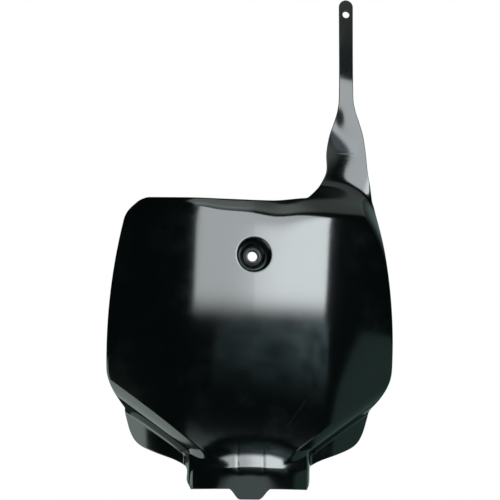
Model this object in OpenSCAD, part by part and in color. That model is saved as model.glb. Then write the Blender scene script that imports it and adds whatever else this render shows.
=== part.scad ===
// Front number board for a motocross motorcycle.
// One moulded sheet: a bowed face with a rolled top edge, two wings stepped back behind
// drafted walls, a tab with a tongue at the foot and one long strap from the top corner.
// Millimetres. Z is up and the face looks along -Y. The origin is on the axis of the
// centre hole, at the back of its seat. Depth is measured backwards from the recess rim.

/* [Plate outline] */
// Width of the plate at its widest
plate_w = 247; // [235:1:260]
// Height of the widest place above the centre hole
widest_z = -80; // [-95:1:-65]
// Radius of the bowed sides
side_r = 463; // [400:1:600]
// Height of the top edge above the centre hole
top_z = 48; // [45:0.5:55]
// Rise of the top edge for each millimetre towards the free corner
top_rise = 0.028; // [0:0.002:0.04]
// Radius of the top corners
corner_r = 18; // [14:0.5:22]
// Height above the plate's lower corners at which the sides start to turn in
turn_up = 18.5; // [15:0.5:22]
// Radius of that turn
turn_r = 38; // [34:1:55]

/* [Sheet] */
// Thickness of the moulded sheet
sheet_t = 2.5; // [1.8:0.1:3]

/* [Face] */
// Radius of the bow across the middle of the face
crown_r = 1000; // [700:10:2000]
// Distance of each side bend from the middle
bend_x = 62; // [50:1:75]
// How softly the side bends turn
bend_soft = 24; // [12:1:40]
// Backward slope of the side panels
side_slope = 0.26; // [0.2:0.01:0.45]
// Height at which the face starts to lean back towards the foot
lean_z = -80; // [-100:1:-60]
// How softly that lean sets in
lean_soft = 60; // [30:1:80]
// Backward slope of the face near the foot
lean_slope = 0.345; // [0.2:0.005:0.4]

/* [Top edge] */
// Height at which the top edge starts to roll back
crease_z = 40; // [36:0.5:43]
// Fall of that line for each millimetre towards the strap
crease_fall = 0.03; // [0:0.005:0.05]
// Backward slope of the rolled edge
roll_slope = 0.62; // [0.4:0.02:0.9]
// How softly the rolled edge turns
roll_soft = 7; // [5:0.5:12]

/* [Lower edge and wings] */
// Distance of each toe of the lower edge from the middle
toe_x = 35.7; // [30:0.1:40]
// Height of the toes
toe_z = -177.5; // [-180:0.5:-174]
// Angle of the lower edge above the horizontal
edge_angle = 36.5; // [33:0.5:39]
// Radius of the rolled lower edge
edge_r = 9; // [6:0.5:11]
// Draft of the walls behind the face
wall_draft = 15; // [10:1:25]
// Size of the fillet at the foot of the walls
foot_fillet = 5; // [3:0.5:7]
// Depth of the wings at their middle
wing_depth = 49; // [46:0.5:52]
// Backward slope of the wings towards the foot
wing_lean = 0.25; // [0.15:0.01:0.3]
// Backward slope of the wings towards their outer ends
wing_slope = 0.28; // [0.1:0.01:0.35]
// Radius of the bow across the wings
wing_bow_r = 100; // [80:5:300]

/* [Tab] */
// Width of the front of the tab
tab_w = 100.6; // [96:0.2:104]
// Height of the bottom edge of the tab
tab_z = -197.6; // [-203:0.1:-196]
// Depth of the tab's ridge at the middle
tab_depth = 29.2; // [28:0.1:32]
// Radius of the bow across the tab
tab_bow_r = 140; // [120:1:300]
// Height of the ridge along the top of the tab
ridge_z = -180.6; // [-184:0.1:-179]
// Dip of the ridge at the middle
ridge_dip = 4.4; // [0:0.2:6]
// Radius of the tab's front corners
tab_edge_r = 3.5; // [3.2:0.1:5]
// Forward swell of the middle of the tab
swell = 0.8; // [0:0.1:2]
// Width of the swell and of the tongue's root
tongue_w = 31; // [26:0.5:36]
// Length of the tongue below the tab
tongue_h = 8.9; // [5:0.1:11]

/* [Strap] */
// Width of the strap
strap_w = 12.2; // [10:0.1:15]
// Distance of the strap's middle in from the widest place of the plate
strap_in = 39.8; // [36:0.1:43]
// Height of the strap's end
strap_top = 229; // [215:0.5:240]
// Sideways drift of the strap's end
strap_drift = 1.2; // [0:0.1:3]
// Width of the neck where the strap leaves the plate
neck_w = 34.1; // [30:0.1:38]
// Height of the neck's widest place
neck_z = 92.5; // [88:0.5:97]
// Length over which the neck narrows to the strap
neck_run = 58; // [50:1:66]
// Backward slope of the strap
strap_slope = 0.1; // [0.05:0.01:0.2]
// Diameter of the hole in the strap
strap_hole_d = 6; // [4:0.1:7]
// Distance of that hole from the strap's end
strap_hole_in = 13; // [9:0.5:16]

/* [Centre hole] */
// Diameter of the hole for the fixing bolt
hole_d = 8.4; // [6:0.1:9]
// Diameter of the recess at the face
recess_d = 29.6; // [27:0.2:33]
// Diameter of the ledge part way down
ledge_d = 17.3; // [15:0.1:19]
// Depth of the ledge below the rim
ledge_depth = 9.5; // [7:0.5:11]
// Depth of the recess floor below the rim
recess_depth = 13; // [11.5:0.5:15]
// Thickness of the floor under the bolt
floor_t = 4; // [3:0.5:6]

/* [Hidden] */

half_w = plate_w / 2;
rim_y = -(recess_depth + floor_t);
wall_slope = tan(90 - wall_draft);
edge_slope = tan(edge_angle);
tab_half = tab_w / 2;
tongue_half = tongue_w / 2;
strap_x = half_w - strap_in;

// Width of the tab's side walls seen from the front
tab_wall_w = 4.7;
// How far the notch between the side and the wing lies below the lower edge's line
notch_drop = 1.8;
// Where the sides start to turn in
turn_z = lower_at(half_w) + turn_up;

// Rounded ramp: zero far below h = 0, rising one for one far above it
function ramp(h, soft) = (h + sqrt(h * h + soft * soft)) / 2;
// Ramp that starts from exactly zero at the given place
function ramp_from(h, start, soft) = ramp(h, soft) - ramp(start, soft);
// The nearer of two sheets, with a fillet of size k where they meet
function blend(a, b, k) =
    let (near = max(k - abs(a - b), 0) / k)
    min(a, b) - near * near * k / 4;
function mix(a, b, f) = a + (b - a) * f;
function ease(f) = let (g = min(max(f, 0), 1)) g * g * (3 - 2 * g);

// Depth of a wall at distance s past the place where its rounded edge begins
function wall(s, r) =
    let (turn = 90 - wall_draft, reach = r * sin(turn))
    s <= 0 ? 0
    : s < reach ? r - sqrt(r * r - s * s)
    : r * (1 - cos(turn)) + (s - reach) * wall_slope;

// Depth of the bowed face
function side_depth(x) =
    x * x / (2 * crown_r) + side_slope * ramp_from(abs(x) - bend_x, -bend_x, bend_soft);
function face_depth(x, z) =
    side_depth(x) + lean_slope * ramp_from(lean_z - z, lean_z, lean_soft);

// The top edge rolls back along the crease, and the strap straightens up again at its seam
function crease_at(x) = crease_z - crease_fall * x - pow(max(x - strap_x - 10.3, 0), 2) / 18;
function seam_at(x) = top_z + 17 - pow(max(x - strap_x + 3.7, 0), 2) * 0.045;
function top_depth(x, z) =
    roll_slope * ramp(z - crease_at(x), roll_soft)
    - (roll_slope - strap_slope) * ramp(z - seam_at(x), roll_soft);

// Distance past the start of the rolled lower edge
function edge_line(x) = toe_z + edge_slope * (abs(x) - toe_x);
function past_edge(x, z) =
    (edge_line(x) - z) * cos(edge_angle) + edge_r * cos(wall_draft);

// Depth of the tab: a bowed front with a ridge that dips at the tongue. Above the ridge the
// front swells between two narrow flanks, which run out below it
swell_run = 9;
function dip_at(x) = ridge_dip * (1 - ease((abs(x) - tongue_half * 0.45) / (tongue_half * 0.7)));
function swell_at(x) = swell * (1 - ease((abs(x) - tongue_half * 0.6) / (tongue_half * 0.22)));
function tab_depth_at(x, z) =
    let (h = z - ridge_z + dip_at(x))
    tab_depth + x * x / (2 * tab_bow_r) - swell_at(x) * ease(1 + h / swell_run)
    + 0.12 * ramp(h, 4) + 0.25 * ramp(-h, 4);

// Depth of the wings, measured from their middle
wing_mid_x = half_w * 0.67;
wing_mid_z = -146;
function wing_depth_at(x, z) =
    let (w = abs(x) - wing_mid_x)
    wing_depth + wing_slope * w + w * w / (2 * wing_bow_r) + wing_lean * (wing_mid_z - z);

// Depth of the whole front at any place. Up the neck the strap flattens across its width
function depth(x, z) =
    let (
        flat = ease((z - top_z) / (neck_z + 20 - top_z)),
        xf = mix(x, strap_x, flat),
        face = face_depth(xf, z) + top_depth(xf, z) + wall(past_edge(x, z), edge_r),
        tab = tab_depth_at(x, z) + wall(abs(x) - tab_half + tab_edge_r * 0.5, tab_edge_r)
    )
    z > lean_z ? face
    : blend(blend(face, tab, foot_fillet), wing_depth_at(x, z), foot_fillet);

// Points on the front and on the back of the sheet
step = 0.02;
function front_point(p) = [p[0], rim_y + depth(p[0], p[1]), p[1]];
function outward(p) =
    let (
        dx = (depth(p[0] + step, p[1]) - depth(p[0] - step, p[1])) / (2 * step),
        dz = (depth(p[0], p[1] + step) - depth(p[0], p[1] - step)) / (2 * step),
        n = sqrt(1 + dx * dx + dz * dz)
    )
    [dx / n, -1 / n, dz / n];
function back_point(p) = front_point(p) - sheet_t * outward(p);

// Half width of the plate at a height. The free corner is rounded off, and on the other
// side the edge runs straight on into the strap
function half_width(z, side = 1) =
    half_w - pow(z - widest_z, 2) / (2 * side_r)
    - pow(max(turn_z - z, 0), 2) / (2 * turn_r)
    - (side < 0 && z > corner_z
        ? corner_r - sqrt(max(pow(corner_r, 2) - pow(z - corner_z, 2), 0)) : 0);
corner_z = top_z + 1 - corner_r;
// Where the top edge meets the side edge, half way round the corner
mid_z = corner_z + corner_r * cos(45);
mid_w = half_width(mid_z, -1);
corner_w = half_width(mid_z);

// Height of the top edge
function top_at(x) =
    let (a = min(max(abs(x) - (mid_w - corner_r * sin(45)), 0), corner_r))
    top_z - (x < 0 ? top_rise * x * (1 - a / corner_r) : 0)
    - (corner_r - sqrt(corner_r * corner_r - a * a));

// Rows near the lower edge run parallel to it and level off between the toes. Each ends at
// the side of the plate, at a height found by halving
function lower_at(x) = toe_z + edge_slope * ramp_from(abs(x) - toe_x, -toe_x, 8);
function row_end(offset, low = toe_z - 10, high = widest_z, n = 22) =
    let (z = (low + high) / 2)
    n == 0 ? z
    : lower_at(half_width(z)) + offset > z ? row_end(offset, z, high, n - 1)
    : row_end(offset, low, z, n - 1);

// Half width of the plate where the lower edge meets its side, and the notch below it
level_w = half_width(row_end(0));
notch_z = row_end(-notch_drop);
notch_w = half_width(notch_z);

// Where a row ends: on the side of the plate, or below the notch on the wing's edge
function wing_meet(offset, low = 5, high = 7, n = 16) =
    let (t = (low + high) / 2, p = curve(wing_edge, t))
    n == 0 ? p
    : p[1] - lower_at(p[0]) > offset ? wing_meet(offset, low, t, n - 1)
    : wing_meet(offset, t, high, n - 1);
function row_side(offset) =
    offset < -notch_drop ? wing_meet(offset)
    : let (z = row_end(offset)) [half_width(z), z];

// Smooth curve through a list of points
function curve(p, t) =
    let (
        last = len(p) - 1,
        i = min(floor(t), last - 1),
        f = t - i,
        a = p[max(i - 1, 0)], b = p[i], c = p[i + 1], d = p[min(i + 2, last)]
    )
    0.5 * (2 * b + (c - a) * f + (2 * a - 5 * b + 4 * c - d) * f * f
        + (3 * b - a - 3 * c + d) * f * f * f);

// Outer edge of a wing from the tab's corner to the notch
wing_edge = [
    [tab_half, tab_z],
    [tab_half + tab_wall_w - 1.5, mix(tab_z, notch_z, 0.11)],
    [tab_half + tab_wall_w - 1, mix(tab_z, notch_z, 0.28)],
    [mix(tab_half, notch_w, 0.21), mix(tab_z, notch_z, 0.362)],
    [mix(tab_half, notch_w, 0.53), mix(tab_z, notch_z, 0.46)],
    [mix(tab_half, notch_w, 0.77), mix(tab_z, notch_z, 0.562)],
    [mix(tab_half, notch_w, 0.9), mix(tab_z, notch_z, 0.716)],
    [notch_w, notch_z]
];
// Place of each column along that edge
wing_places = [0, 0.27, 0.55, 0.85, 1.2, 1.6, 2, 2.4, 2.8, 3.2, 3.7, 4.2, 4.6, 5, 5.4, 5.8, 6.2];

// Columns across the half plate, at the level of the lower edge
columns = concat(
    [0, 0.3, 0.6, 0.82, 1, 1.2] * tongue_half,
    [for (f = [0.25, 0.5, 0.7, 0.86]) mix(tongue_half * 1.2, tab_half - tab_edge_r, f)],
    [tab_half - tab_edge_r * 0.5, for (i = [0 : 6]) tab_half + tab_wall_w * i / 6],
    [for (i = [1 : 10]) mix(tab_half + tab_wall_w, level_w, i / 10)]
);
column_count = len(columns);
first_wall = column_count - len(wing_places);

// Bottom edge below a column: the tongue, the tab and then the wing
function tongue_at(x) =
    tongue_h * (1 - ease((abs(x) - tongue_half * 0.5) / (tongue_half * 0.66)));
function bottom_at(i) =
    i < first_wall ? [columns[i], tab_z - tongue_at(columns[i])]
    : curve(wing_edge, wing_places[i - first_wall]);

top_rows = [0, 3, 6, 9.5, 13.5, 19, 28];
face_rows = [for (i = [1:7]) i / 8];
edge_rows = [14, 10.5, 7.5, 5, 3, 1.2, -0.6, -2.2, -3.8, -5.4, -7.5];
foot_rows = [for (i = [1 : 9]) i / 9];

// One vertex of the plate, from its row and its column
function side_of(c) = c < 0 ? -1 : 1;
function plate_point(kind, v, c) =
    let (
        x_level = columns[abs(c)],
        u = side_of(c) * x_level / level_w,
        z_edge_end = row_end(edge_rows[0])
    )
    kind == "top" ?
        let (x = u * half_width(mid_z - v, u)) [x, top_at(u * mid_w) - v]
    : kind == "face" ?
        let (
            z0 = top_at(u * mid_w) - top_rows[6],
            z1 = lower_at(u * half_width(z_edge_end)) + edge_rows[0],
            e0 = mid_z - top_rows[6],
            x = u * half_width(mix(e0, z_edge_end, v), u)
        )
        [x, mix(z0, z1, v)]
    : kind == "edge" ?
        let (x = u * row_side(v)[0]) [x, lower_at(x) + v]
    :
        let (
            last = edge_rows[len(edge_rows) - 1],
            a = plate_point("edge", last, c),
            b = bottom_at(abs(c))
        )
        [mix(a[0], side_of(c) * b[0], v), mix(a[1], b[1], v)];

plate_rows = concat(
    [for (v = top_rows) ["top", v]],
    [for (v = face_rows) ["face", v]],
    [for (v = edge_rows) ["edge", v]],
    [for (v = foot_rows) ["foot", v]]
);
across = 2 * column_count - 1;
plate_points = [
    for (row = plate_rows)
    for (c = [1 - column_count : column_count - 1])
    plate_point(row[0], row[1], c)
];

plate_count = len(plate_points);

// The strap leaves the top edge at this column
strap_first = first_wall - 1;
first_x = columns[strap_first] * corner_w / level_w;
end_r = strap_w / 2;
end_z = strap_top - end_r;

// Sections of the neck and strap: left edge and right edge as [across, up]
strap_left = strap_x - strap_w / 2;
strap_right = strap_x + strap_w / 2;
neck_left = strap_x - neck_w * 0.52;
neck_right = strap_x + neck_w * 0.48;
strap_sections = [
    [[first_x, top_at(first_x)], [corner_w, mid_z]],
    [[mix(first_x, neck_left, 0.2), mix(top_z, neck_z, 0.135)],
        [corner_w - 1.7, mix(top_z, neck_z, 0.067)]],
    [[mix(first_x, neck_left, 0.64), mix(top_z, neck_z, 0.348)],
        [neck_right + 3.7, mix(top_z, neck_z, 0.337)]],
    [[neck_left - 0.5, mix(top_z, neck_z, 0.63)], [neck_right + 1.5, mix(top_z, neck_z, 0.63)]],
    [[neck_left, neck_z], [neck_right, neck_z]],
    [[neck_left + 2.8, neck_z + 0.26 * neck_run], [neck_right - 2, neck_z + 0.26 * neck_run]],
    [[strap_left - 4.4, neck_z + 0.48 * neck_run], [strap_right + 4.8, neck_z + 0.48 * neck_run]],
    [[strap_left - 1.2, neck_z + 0.69 * neck_run], [strap_right + 1.2, neck_z + 0.69 * neck_run]],
    [[strap_left, neck_z + neck_run], [strap_right, neck_z + neck_run]],
    [[strap_left + strap_drift, end_z], [strap_right + strap_drift, end_z]]
];
strap_steps = [0.35, 0.7, 1.1, 1.6, 2.1, 2.7, 3.3, 3.9, 4.5, 5.2, 6, 6.8, 7.5, 8, 8.4, 9];
tip_steps = [0.35, 0.7, 1];
strap_across = column_count - strap_first;

function strap_point(k, t, tip = 0) =
    let (
        base = [for (c = [strap_first, strap_first + k, column_count - 1])
            plate_point("top", 0, c)],
        f = (base[1][0] - base[0][0]) / (base[2][0] - base[0][0]),
        left = curve([for (s = strap_sections) s[0]], t),
        right = curve([for (s = strap_sections) s[1]], t),
        bend = (base[1] - mix(base[0], base[2], f)) * (1 - ease(t / 2)),
        turn = 45 * tip,
        x = mix(-1, 1, f) * end_r * cos(turn)
    )
    tip == 0 ? mix(left, right, f) + bend
    : [strap_x + strap_drift + x,
        end_z + end_r * sin(turn) + tip * (sqrt(end_r * end_r - x * x) - end_r * sin(turn))];

strap_points = [
    for (t = strap_steps) for (k = [0 : strap_across - 1]) strap_point(k, t),
    for (t = tip_steps) for (k = [0 : strap_across - 1]) strap_point(k, 9, t)
];
strap_count = len(strap_steps) + len(tip_steps);

// Numbers of the points on the grids
function plate_id(r, c) = r * across + c;
function strap_id(s, k) =
    s == 0 ? column_count - 1 + strap_first + k : plate_count + (s - 1) * strap_across + k;
sheet_points = concat(plate_points, strap_points);
sheet_count = len(sheet_points);
last_row = len(plate_rows) - 1;

front_faces = [
    for (r = [0 : last_row - 1]) for (c = [0 : across - 2])
    let (a = plate_id(r, c), b = plate_id(r, c + 1), d = plate_id(r + 1, c), e = plate_id(r + 1, c + 1))
    each c < column_count - 1 ? [[a, b, d], [b, e, d]] : [[a, b, e], [a, e, d]],
    for (s = [0 : strap_count - 1]) for (k = [0 : strap_across - 2])
    let (a = strap_id(s, k), b = strap_id(s, k + 1), d = strap_id(s + 1, k), e = strap_id(s + 1, k + 1))
    each [[d, e, b], [d, b, a]]
];
// The rim, clockwise as seen from the front
rim = concat(
    [for (c = [0 : column_count - 1 + strap_first]) plate_id(0, c)],
    [for (s = [1 : strap_count]) strap_id(s, 0)],
    [for (k = [1 : strap_across - 1]) strap_id(strap_count, k)],
    [for (s = [strap_count - 1 : -1 : 0]) strap_id(s, strap_across - 1)],
    [for (r = [1 : last_row]) plate_id(r, across - 1)],
    [for (c = [across - 2 : -1 : 0]) plate_id(last_row, c)],
    [for (r = [last_row - 1 : -1 : 1]) plate_id(r, 0)]
);

// The sheet: its front, its back at one wall's thickness, and the rim between them
module sheet() {
    polyhedron(
        points = concat(
            [for (p = sheet_points) front_point(p)],
            [for (p = sheet_points) back_point(p)]
        ),
        faces = concat(
            front_faces,
            [for (f = front_faces) [f[0] + sheet_count, f[2] + sheet_count, f[1] + sheet_count]],
            [
                for (i = [0 : len(rim) - 1])
                let (p = rim[i], q = rim[(i + 1) % len(rim)])
                each [[q, p, p + sheet_count], [q, p + sheet_count, q + sheet_count]]
            ]
        )
    );
}

// Turned shapes run forwards from the seat along the hole's axis
module turned(profile) {
    rotate([90, 0, 0]) rotate_extrude($fn = 96) polygon(profile);
}

ring_r = hole_d / 2 + 2;
ledge_r = ledge_d / 2;
rim_up = -rim_y;
ledge_up = rim_up - ledge_depth;

// Cup behind the recess, standing back to the seat that meets the headstock
module cup() {
    turned([
        [0, 0], [ledge_r + sheet_t - 0.4, 0], [ledge_r + sheet_t, 0.4],
        [ledge_r + sheet_t + 0.3, ledge_up - sheet_t],
        [recess_d / 2 + sheet_t + 0.4, rim_up - sheet_t - 2],
        [recess_d / 2 + sheet_t + 2.4, rim_up - sheet_t], [recess_d / 2 + sheet_t + 2.4, rim_up - 1.6],
        [0, rim_up - 1.6]
    ]);
}

// Inside of the recess: a lip, a cone, a ledge and a floor with a ring round the hole
module recess() {
    turned([
        [0, floor_t + 0.5], [ring_r, floor_t + 0.5], [ring_r + 0.3, floor_t],
        [ledge_r - 0.8, floor_t], [ledge_r, floor_t + 0.8], [ledge_r + 0.2, ledge_up - 0.3],
        [ledge_r + 1.2, ledge_up], [recess_d / 2 - 1.4, rim_up - 2.4], [recess_d / 2, rim_up - 0.6],
        [recess_d / 2 + 3, rim_up + 2], [0, rim_up + 2]
    ]);
}

// Hole for the strap's button, square to the strap
module strap_hole() {
    p = [strap_x + strap_drift * (end_z + end_r - strap_hole_in - neck_z) / (end_z - neck_z),
        strap_top - strap_hole_in];
    n = outward(p);
    translate(front_point(p)) rotate([90 - atan(n[2] / -n[1]), 0, 0])
        cylinder(h = 4 * sheet_t, d = strap_hole_d, center = true, $fn = 48);
}

module number_board() {
    color("#15181a") difference() {
        union() {
            sheet();
            cup();
        }
        recess();
        rotate([90, 0, 0]) translate([0, 0, -1])
            cylinder(h = rim_up, d = hole_d, $fn = 64);
        strap_hole();
    }
}

number_board();
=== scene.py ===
"""Gloss black moulded front number board for a motocross motorcycle, on a plain studio stage."""
import math
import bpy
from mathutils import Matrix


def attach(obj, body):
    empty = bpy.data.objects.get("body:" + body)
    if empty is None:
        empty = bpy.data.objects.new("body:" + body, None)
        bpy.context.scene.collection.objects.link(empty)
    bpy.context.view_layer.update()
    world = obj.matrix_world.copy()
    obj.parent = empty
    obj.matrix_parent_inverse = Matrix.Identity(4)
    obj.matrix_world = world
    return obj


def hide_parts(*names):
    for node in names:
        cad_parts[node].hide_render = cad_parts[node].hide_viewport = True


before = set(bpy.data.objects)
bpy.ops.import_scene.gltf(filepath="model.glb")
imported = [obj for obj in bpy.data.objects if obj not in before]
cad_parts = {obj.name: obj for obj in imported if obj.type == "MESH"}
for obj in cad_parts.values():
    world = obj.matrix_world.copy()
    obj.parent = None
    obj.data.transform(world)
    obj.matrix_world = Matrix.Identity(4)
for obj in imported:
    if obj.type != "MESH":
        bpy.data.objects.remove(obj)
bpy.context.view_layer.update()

from types import SimpleNamespace

import bpy
import numpy as np
from mathutils import Matrix
from bpy.props import FloatProperty, StringProperty

bl_info = {
    "name": "Racing number board",
    "version": (1, 0, 0),
    "blender": (4, 5, 0),
    "location": "3D View > Sidebar > Number board",
    "description": "Moulded number board with a recessed fixing hole, wings, tab and strap",
    "category": "Object",
}

MM = 0.001

# Waves of the crease: share of the wave's height, place across, half width
CREASE_WAVES = ((1, -48, 16), (-1, 20, 17))
# Slow dents in the neck: share of the dents' depth, place across from the strap's middle and
# half width, height and half height
NECK_DENTS = ((1.3, -17, 14, 128, 20), (1.1, -13, 22, 106, 22))
# Fine lines: start and end across and up, half width, share of the bump. Two hinge lines
# across the neck and one scratch low on the face
FINE_LINES = (((66, 92.1), (90, 92.1), 0.3, 0.35), ((66, 88.0), (90, 88.0), 0.3, 0.1),
              ((47, -122), (31, -144), 0.25, 1.3))
# Outline of a wing from the tab's bottom corner to the notch: shares of the height of the
# tab's wall, then shares across and up of the way to the notch
TAB_WALL_UP = (0, 0.11, 0.28)
WING_PLACES = ((0.21, 0.362), (0.53, 0.46), (0.77, 0.562), (0.9, 0.716), (1, 1))


# Properties

def length(name, mm, description):
    """A length property given in millimetres and kept in metres."""
    return FloatProperty(name=name, description=description, default=mm * MM,
                         unit="LENGTH", subtype="DISTANCE", precision=5)


def ratio(name, value, description):
    """A plain number, such as a slope."""
    return FloatProperty(name=name, description=description, default=value, precision=4)


def colour(name, code, description):
    """A colour given as sRGB hex."""
    return StringProperty(name=name, description=description, default=code)


class BoardSizes(bpy.types.PropertyGroup):
    """Sizes of the moulding, from the centre hole's axis and the back of its seat."""
    plate_w: length("Plate width", 247, "Width of the plate at its widest")
    widest_z: length("Widest height", -80, "Height of the widest place above the centre hole")
    side_r: length("Side radius", 463, "Radius of the bowed sides")
    top_z: length("Top height", 48, "Height of the top edge above the centre hole")
    corner_r: length("Corner radius", 18, "Radius of the top corners")
    turn_up: length("Turn height", 18.5, "Height above the lower corners where the sides turn in")
    turn_r: length("Turn radius", 38, "Radius of that turn")
    sheet_t: length("Sheet thickness", 2.5, "Thickness of the moulded sheet")
    rim_r: length("Rim radius", 0.6, "Rounding of the sheet's cut edge")
    crown_r: length("Crown radius", 1000, "Radius of the bow across the middle of the face")
    bend_x: length("Side bend", 62, "Distance of each side bend from the middle")
    bend_soft: length("Side bend softness", 24, "How softly the side bends turn")
    lean_z: length("Lean height", -80, "Height at which the face starts to lean back")
    lean_soft: length("Lean softness", 60, "How softly that lean sets in")
    crease_z: length("Crease height", 40, "Height at which the top edge starts to roll back")
    crease_wave: length("Crease wave", 3, "Rise and dip of the crease along its waves")
    corner_in: length("Corner place", 10.3, "Where the crease starts to fall, past the strap")
    corner_turn: length("Corner turn", 9, "Radius of that fall")
    seam_up: length("Seam height", 17, "Height of the neck's foot above the top edge")
    seam_in: length("Seam place", 2, "Where the neck's foot starts to fall, before the strap")
    seam_soft_x: length("Seam turn", 4, "How softly the neck's foot starts to fall")
    roll_soft: length("Roll softness", 7, "How softly the rolled edge turns")
    seam_soft: length("Seam softness", 3, "How softly the neck straightens into the strap")
    toe_x: length("Toe distance", 35.7, "Distance of each toe of the lower edge from the middle")
    toe_z: length("Toe height", -177.5, "Height of the toes")
    toe_soft: length("Toe softness", 8, "How softly the lower edge turns at the toes")
    edge_r: length("Lower edge radius", 9, "Radius of the rolled lower edge")
    foot_fillet: length("Foot fillet", 5, "Size of the fillet at the foot of the walls")
    wing_depth: length("Wing depth", 48.6, "Depth of the wings at their middle")
    wing_mid_z: length("Wing middle height", -146, "Height of the wings' middle")
    wing_bow_r: length("Wing bow", 100, "Radius of the bow across the wings")
    notch_drop: length("Notch drop", 1.8, "Drop of the notch below the lower edge's line")
    tab_w: length("Tab width", 100.6, "Width of the front of the tab")
    tab_z: length("Tab height", -197.6, "Height of the bottom edge of the tab")
    tab_depth: length("Tab depth", 26.6, "Depth of the tab's ridge at the middle")
    tab_bow_r: length("Tab bow", 140, "Radius of the bow across the tab")
    ridge_z: length("Ridge height", -180.6, "Height of the ridge along the top of the tab")
    ridge_dip: length("Ridge dip", 4.4, "Dip of the ridge at the middle")
    ridge_soft: length("Ridge softness", 4, "How softly the tab turns above its ridge")
    lower_soft: length("Lower softness", 2.5, "How softly the tab turns below its ridge")
    tab_edge_r: length("Tab corner radius", 3.5, "Radius of the tab's front corners")
    tab_wall_w: length("Tab wall width", 4.7, "Width of the tab's side walls seen from the front")
    ridge_turn: length("Ridge turn", 5.5, "How much higher the middle of the tab turns back")
    groove_x: length("Groove place", 11, "Distance of each groove in the tab from the middle")
    groove_w: length("Groove width", 0.9, "Half width of a groove")
    groove_t: length("Groove depth", 0.35, "Depth of a groove")
    tongue_w: length("Tongue width", 31, "Width of the tongue's root")
    tongue_h: length("Tongue length", 8.9, "Length of the tongue below the tab")
    strap_w: length("Strap width", 12.2, "Width of the strap")
    strap_in: length("Strap inset", 39.8, "Distance of the strap's middle in from the widest place")
    strap_top: length("Strap end height", 229, "Height of the strap's end")
    hinge_z: length("Hinge height", 157, "Height where the strap bends back a little more")
    hinge_soft: length("Hinge softness", 2, "How softly the strap turns at the hinge")
    neck_lift: length("Neck lift", 3.2, "Rise of the top edge where it runs into the neck")
    lift_x: length("Lift place", 14, "Distance from the middle where that rise starts")
    lift_run: length("Lift run", 36, "Length over which it rises")
    strap_drift: length("Strap drift", 1.2, "Sideways drift of the strap's end")
    neck_dent: length("Neck dents", 2, "Depth of the slow dents in the neck's left side")
    neck_w: length("Neck width", 34.1, "Width of the neck where the strap leaves the plate")
    neck_z: length("Neck height", 92.5, "Height of the neck's widest place")
    flat_over: length("Flat height", 20, "Height above the neck's widest place where it is flat")
    neck_run: length("Neck run", 58, "Length over which the neck narrows to the strap")
    strap_hole_d: length("Strap hole", 6, "Diameter of the hole in the strap")
    eye_r: length("Strap hole rounding", 0.25, "Rounding of the edge of that hole")
    strap_hole_in: length("Strap hole inset", 13, "Distance of that hole from the strap's end")
    hole_d: length("Centre hole", 8.4, "Diameter of the hole for the fixing bolt")
    recess_d: length("Recess diameter", 29.6, "Diameter of the recess at the face")
    ledge_d: length("Ledge diameter", 17.3, "Diameter of the ledge part way down")
    ledge_depth: length("Ledge depth", 9.5, "Depth of the ledge below the rim")
    recess_depth: length("Recess depth", 13, "Depth of the recess floor below the rim")
    floor_t: length("Floor thickness", 4, "Thickness of the floor under the bolt")


class BoardSlopes(bpy.types.PropertyGroup):
    """Slopes, angles and shares of the moulding."""
    side_slope: ratio("Side slope", 0.26, "Backward slope of the side panels")
    lean_slope: ratio("Lean slope", 0.345, "Backward slope of the face near the foot")
    top_rise: ratio("Top rise", 0.028, "Rise of the top edge towards the free corner")
    seam_fall: ratio("Seam fall", 0.6, "Fall of the neck's foot to the right")
    seam_corner: ratio("Seam corner", 0.8, "Share of the crease's fall that the neck's foot has")
    crease_fall: ratio("Crease fall", 0.03, "Fall of the crease towards the strap")
    roll_slope: ratio("Roll slope", 0.62, "Backward slope of the rolled edge")
    strap_slope: ratio("Strap slope", 0.088, "Backward slope of the strap")
    hinge_slope: ratio("Hinge slope", 0.042, "Extra backward slope above the hinge")
    edge_angle: ratio("Lower edge angle", 36.5, "Degrees of the lower edge above the horizontal")
    tab_upper: ratio("Upper tab slope", 0.12, "Backward slope of the tab above its ridge")
    tab_lower: ratio("Lower tab slope", 0.25, "Backward slope of the tab below its ridge")
    tongue_lower: ratio("Tongue slope", 0.1, "Extra backward slope at the tongue")
    wall_draft: ratio("Wall draft", 15, "Degrees of draft of the walls behind the face")
    wing_mid: ratio("Wing middle", 0.67, "Middle of a wing as a share of half the plate's width")
    neck_left: ratio("Neck left", 0.52, "Share of the neck's width left of the strap's middle")
    wing_lean: ratio("Wing lean", 0.25, "Backward slope of the wings towards the foot")
    wing_slope: ratio("Wing slope", 0.34, "Backward slope of the wings towards their outer ends")


class PlasticFinish(bpy.types.PropertyGroup):
    """Finish of the moulded plastic."""
    base: colour("Colour", "#010202", "Colour of the plastic")
    worn: colour("Worn colour", "#040505", "Colour where the gloss is scuffed")
    roughness: ratio("Roughness", 0.10, "Roughness of the gloss")
    scuff: ratio("Scuffing", 0.05, "Extra roughness in the scuffed patches")
    grain: length("Grain", 0.35, "Size of the fine moulded grain")


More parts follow.
